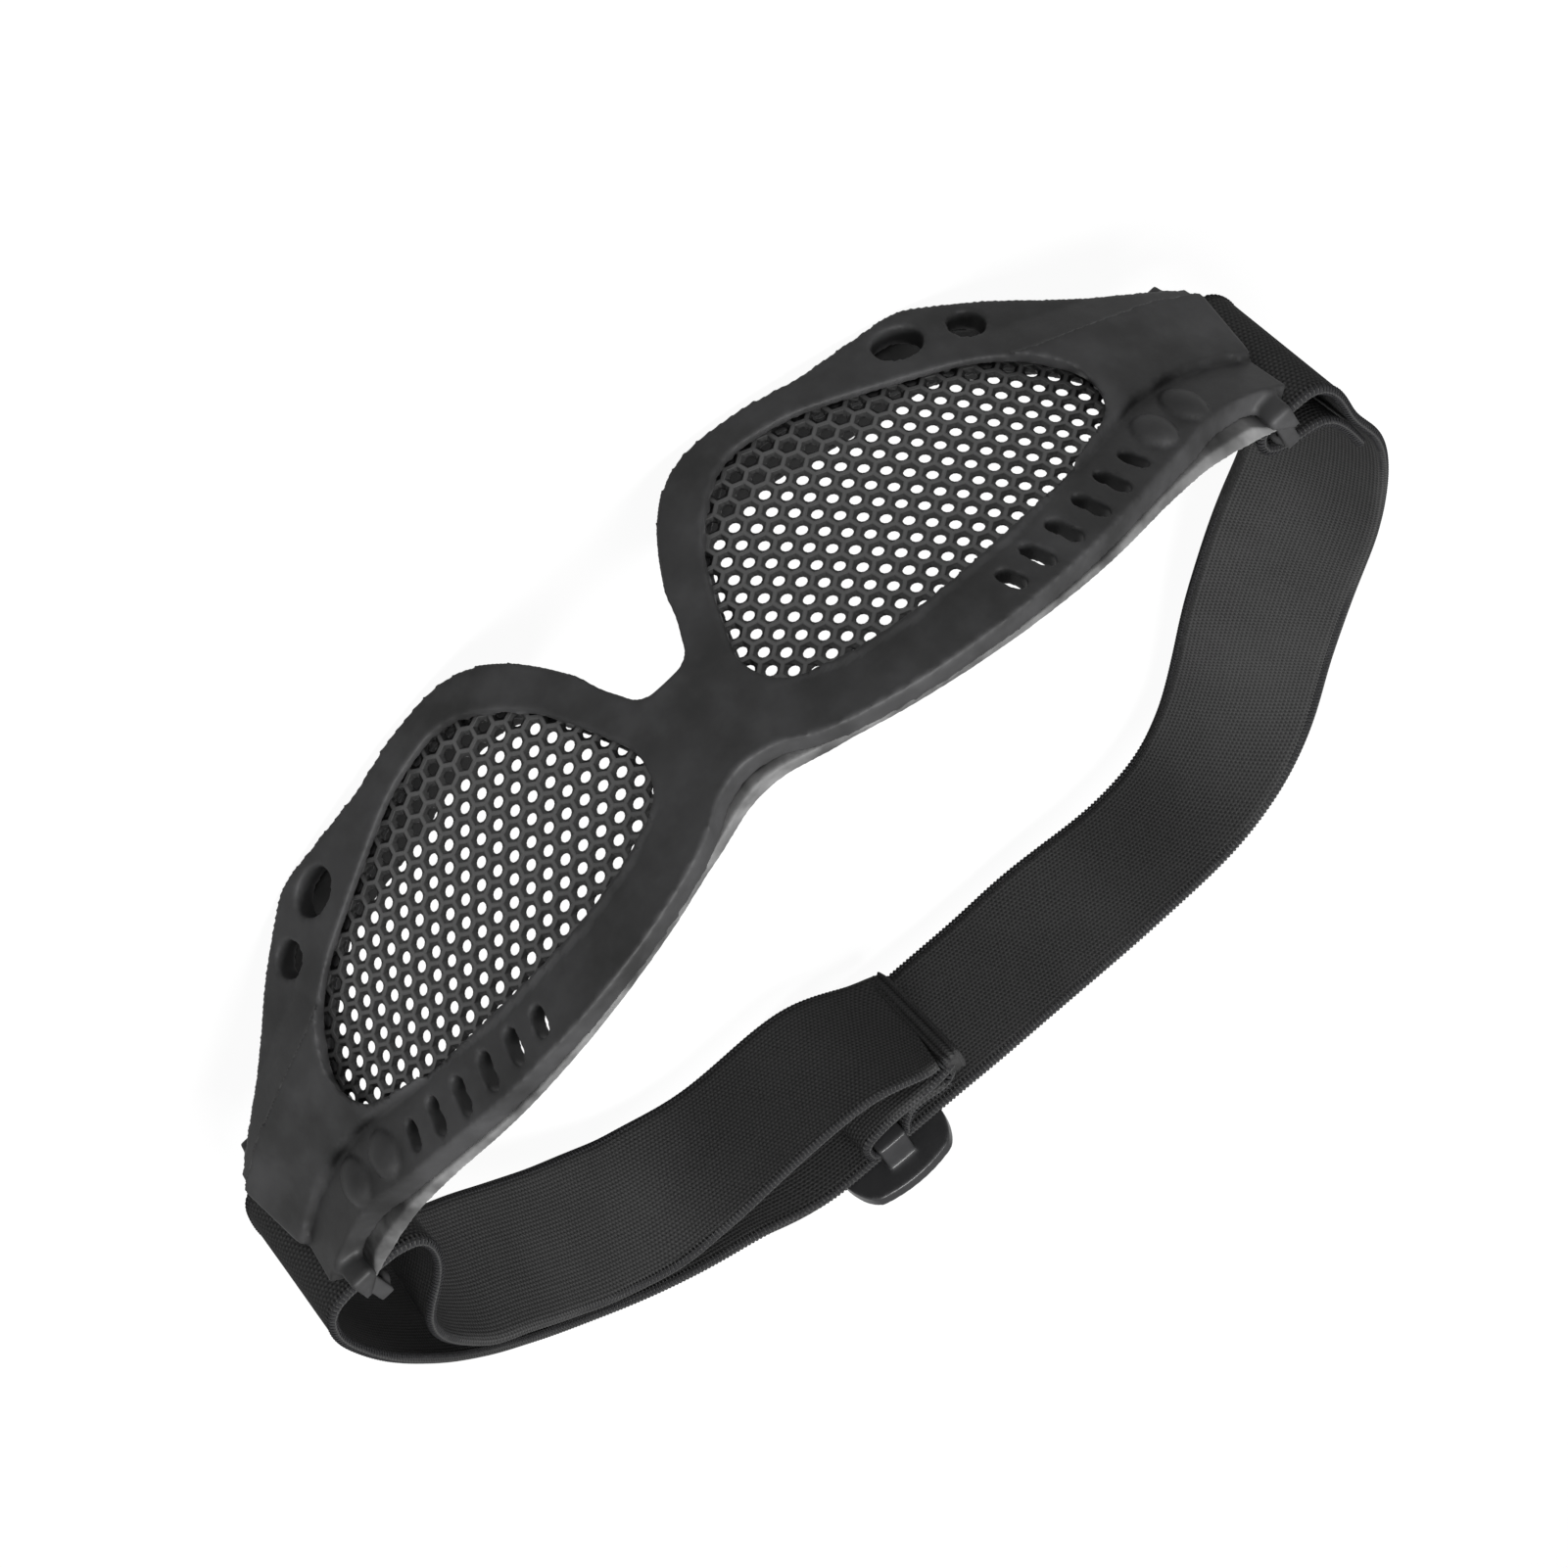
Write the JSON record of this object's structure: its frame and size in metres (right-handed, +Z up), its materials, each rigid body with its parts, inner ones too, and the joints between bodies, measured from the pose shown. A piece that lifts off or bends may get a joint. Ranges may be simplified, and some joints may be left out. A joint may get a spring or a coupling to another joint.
{
  "type": "mesh safety goggles",
  "caption": "Wraparound rubber goggle frame with perforated steel mesh lenses, a soft face seal, and an elastic head strap that adjusts with a sliding buckle.",
  "frame": {"origin": "top of the nose arch on the mid-plane, on the cylinder in which both lenses lie", "axes": "+X to the wearer's left, -Y out of the front of the goggles, +Z up the face"},
  "size_m": [0.1854, 0.1343, 0.0518],
  "materials": {
    "frame_rubber": "matte moulded black rubber",
    "seal_rubber": "soft matte black rubber, a little lighter than the front",
    "lens_mesh": "perforated steel sheet with a satin black coat",
    "webbing": "ribbed elastic webbing with overlocked edges",
    "slider_plastic": "satin black moulded plastic"
  },
  "bodies": {
    "goggles": {"frame": "frame_rubber", "face_seal": "seal_rubber", "lens_left": "lens_mesh", "lens_right": "lens_mesh", "strap_loop_right": "webbing", "strap_rear": "webbing", "strap_guide": "webbing", "strap_outer_left": "webbing", "strap_fold_left": "webbing", "strap_inner_left": "webbing"},
    "adjuster": {"slider": "slider_plastic", "strap_panel": "webbing", "strap_end_loop": "webbing", "strap_hem": "webbing"}
  },
  "joints": [
    {"name": "slider_slide", "type": "slide", "parent": "goggles", "child": "adjuster", "axis": [-0.9945, 0.1047, 0], "range_m": [-0.008, 0.025], "deforming": ["strap_inner_left"]}
  ]
}
